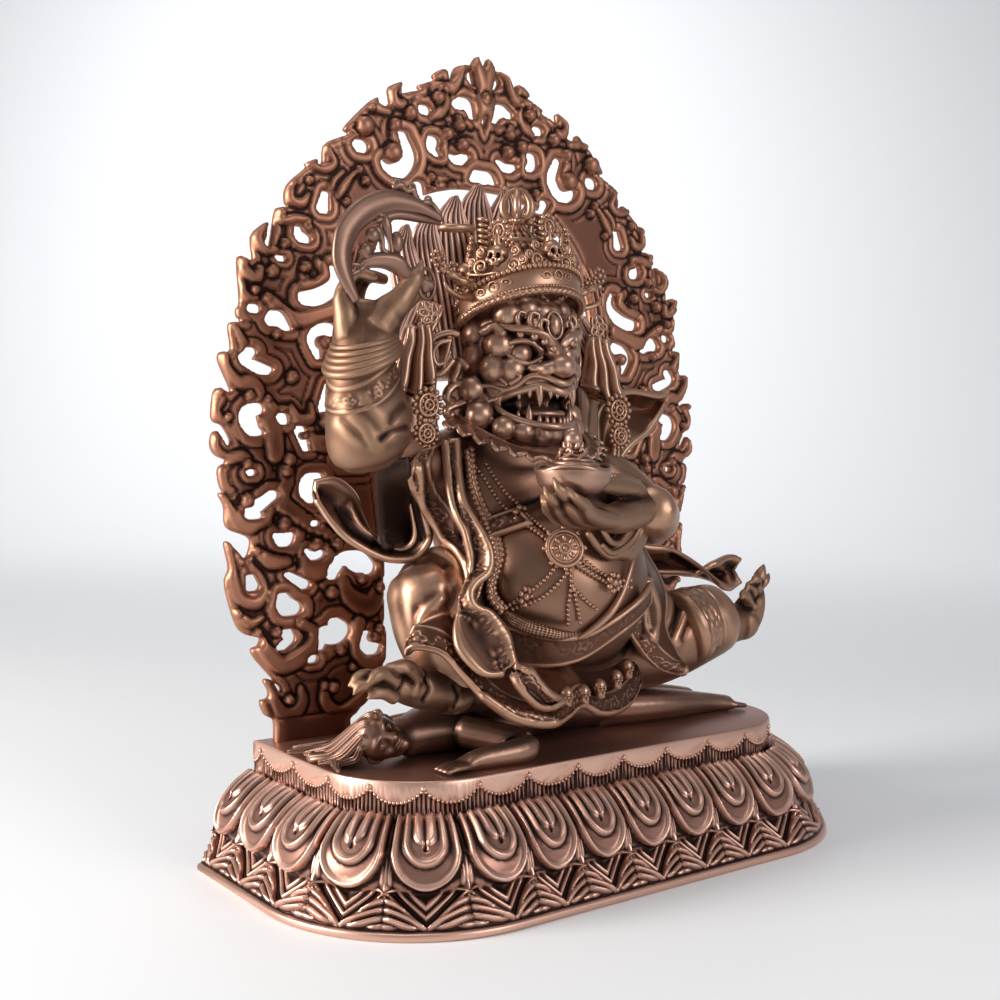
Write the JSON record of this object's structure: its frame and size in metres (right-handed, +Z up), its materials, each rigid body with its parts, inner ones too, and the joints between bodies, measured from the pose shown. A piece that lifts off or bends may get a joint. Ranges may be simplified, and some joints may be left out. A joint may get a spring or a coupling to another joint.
{
  "type": "mahakala figure",
  "caption": "Cast figure of a wrathful guardian with a crescent knife and a skull cup, seated on a prone body on a lotus plinth, with a pierced flame aureole behind.",
  "frame": {"origin": "middle of the plinth's underside", "axes": "+Z up; the figure faces -Y; +X is on the right of someone who looks at its front"},
  "size_m": [0.2036, 0.0948, 0.26],
  "materials": {
    "plinth": "antiqued copper-bronze, satin, dark in the recesses",
    "aureole": "antiqued orange-brown bronze, satin",
    "figure": "antiqued bronze, satin, brighter on the raised parts",
    "blade": "antiqued bronze, satin",
    "cup": "antiqued copper-bronze, satin"
  },
  "bodies": {
    "root": {"lotus_plinth": "plinth", "flame_aureole": "aureole", "guardian_figure": "figure", "flaying_knife": "blade", "skull_cup": "cup"}
  },
  "joints": []
}
